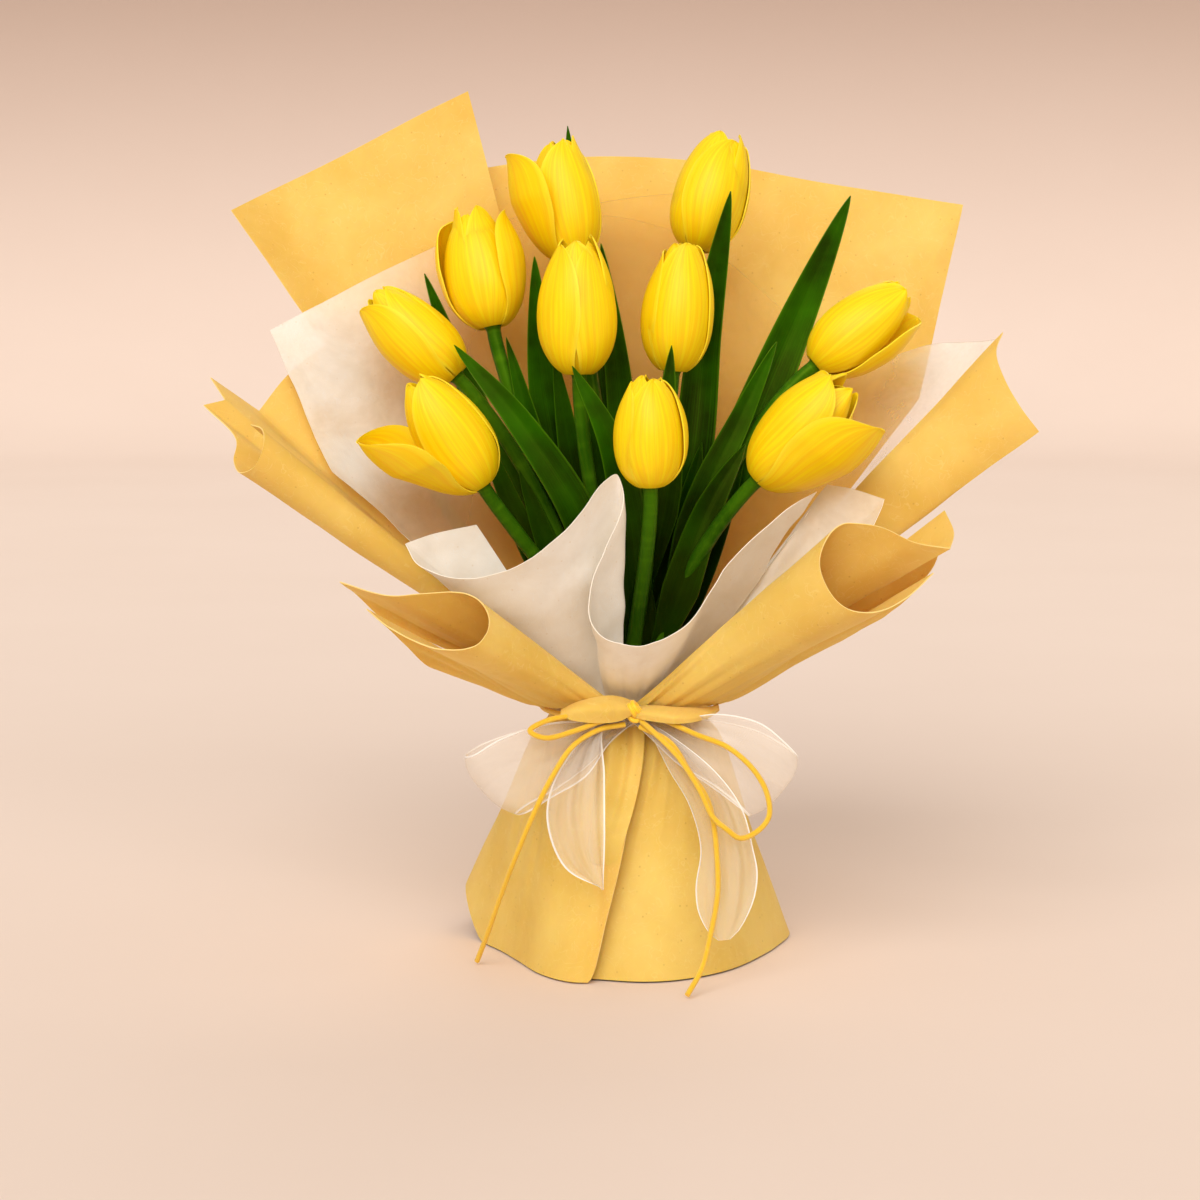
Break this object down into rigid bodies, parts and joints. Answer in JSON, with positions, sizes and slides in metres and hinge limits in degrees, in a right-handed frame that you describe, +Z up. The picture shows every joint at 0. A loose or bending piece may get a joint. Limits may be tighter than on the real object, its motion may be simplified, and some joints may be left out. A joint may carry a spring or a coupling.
{
  "type": "wrapped bunch of tulips",
  "caption": "Standing bunch of yellow tulips with leaves, wrapped in yellow paper and white tissue, tied at the waist with an organza bow and a thin cord.",
  "frame": {"origin": "on the surface the bouquet stands on, under the cut end of the middle stem (tulip_05)", "axes": "+Z up along the stems, -Y towards the front where the bow is, +X to the right seen from the front"},
  "size_m": [0.3874, 0.2184, 0.4051],
  "materials": {
    "yellow_paper": "matte wrapping paper",
    "white_tissue": "thin translucent tissue",
    "tulip_green": "smooth waxy leaf and stem",
    "tulip_petal": "satin petal",
    "rubber_band": "matte",
    "organza": "sheer organza",
    "yellow_cord": "waxed cord"
  },
  "bodies": {
    "root": {"paper_front_left": "yellow_paper", "paper_front_right": "yellow_paper", "paper_back_left": "yellow_paper", "paper_back_right": "yellow_paper", "paper_side_left": "yellow_paper", "paper_side_right": "yellow_paper", "tissue_back_left": "white_tissue", "tissue_back_right": "white_tissue", "tissue_front": "white_tissue", "tissue_right": "white_tissue", "tulip_01_stem": "tulip_green", "tulip_01_bloom": "tulip_petal", "tulip_02_stem": "tulip_green", "tulip_02_bloom": "tulip_petal", "tulip_03_stem": "tulip_green", "tulip_03_bloom": "tulip_petal", "tulip_04_stem": "tulip_green", "tulip_04_bloom": "tulip_petal", "tulip_05_stem": "tulip_green", "tulip_05_bloom": "tulip_petal", "tulip_06_stem": "tulip_green", "tulip_06_bloom": "tulip_petal", "tulip_07_stem": "tulip_green", "tulip_07_bloom": "tulip_petal", "tulip_08_stem": "tulip_green", "tulip_08_bloom": "tulip_petal", "tulip_09_stem": "tulip_green", "tulip_09_bloom": "tulip_petal", "tulip_10_stem": "tulip_green", "tulip_10_bloom": "tulip_petal", "stem_band": "rubber_band", "ribbon_bow": "organza", "cord_band": "yellow_cord", "cord_loop_left": "yellow_cord", "cord_loop_right": "yellow_cord", "cord_tail_left": "yellow_cord", "cord_tail_right": "yellow_cord"}
  },
  "joints": []
}
